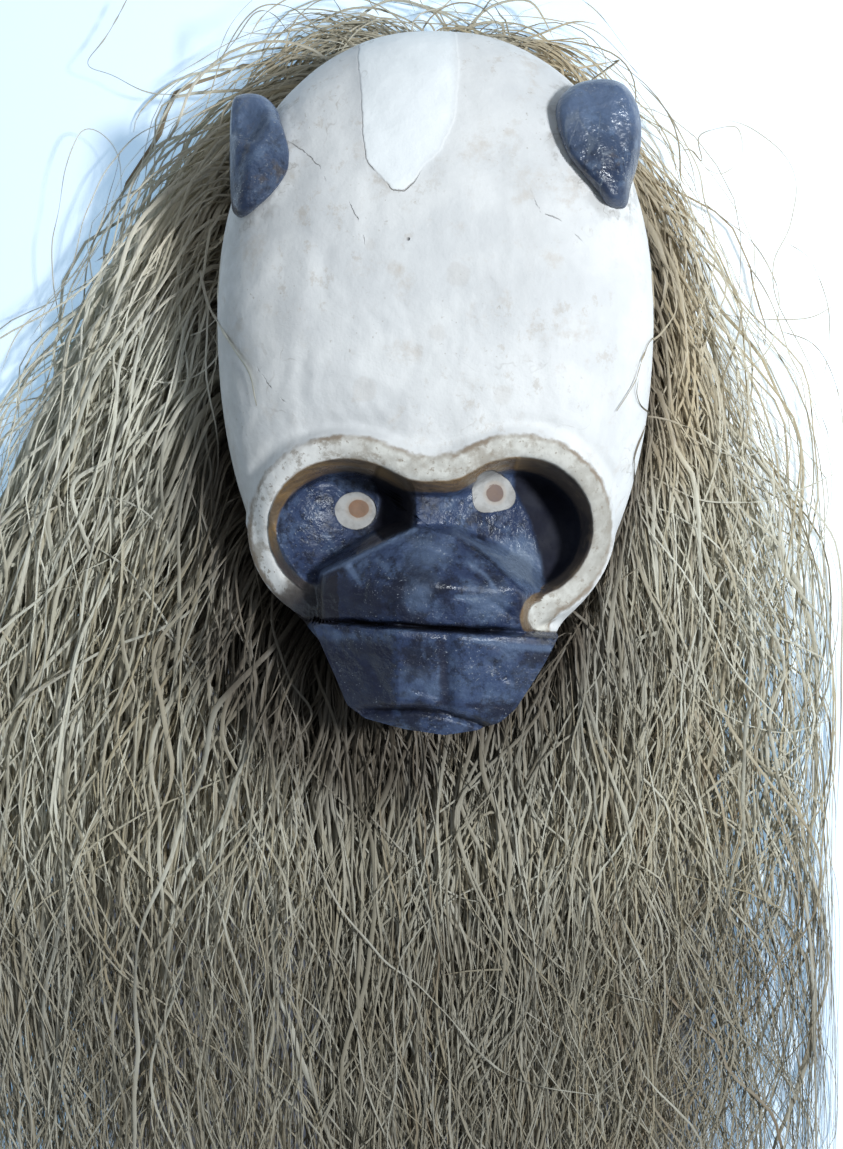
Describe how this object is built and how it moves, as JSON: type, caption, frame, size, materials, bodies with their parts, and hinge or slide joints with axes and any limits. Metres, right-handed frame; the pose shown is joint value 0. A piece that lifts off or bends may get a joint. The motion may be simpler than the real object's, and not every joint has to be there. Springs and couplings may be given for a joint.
{
  "type": "carved wooden monkey mask",
  "caption": "Carved, painted wooden monkey face mask, hollow at the back, with two ears and a long loose fringe of pale plant fibre; worn over the face or hung up.",
  "frame": {"origin": "middle of the whole part's footprint, on the plane its back rim lies on", "axes": "+Z out of the face, +Y towards the crown, +X to the viewer's right; the mask lies on its back rim"},
  "size_m": [0.392, 0.65, 0.122],
  "materials": {
    "painted_wood": "matte chalky white paint on wood, with a dark blue-grey painted face",
    "dark_painted_wood": "worn satin blue-black paint on wood",
    "palm_fibre": "dry straw-coloured loose fibre"
  },
  "bodies": {
    "root": {"carved_mask": "painted_wood", "ear_left": "dark_painted_wood", "ear_right": "dark_painted_wood", "fringe_crown": "palm_fibre", "fringe_left": "palm_fibre", "fringe_right": "palm_fibre", "fringe_beard": "palm_fibre"}
  },
  "joints": []
}
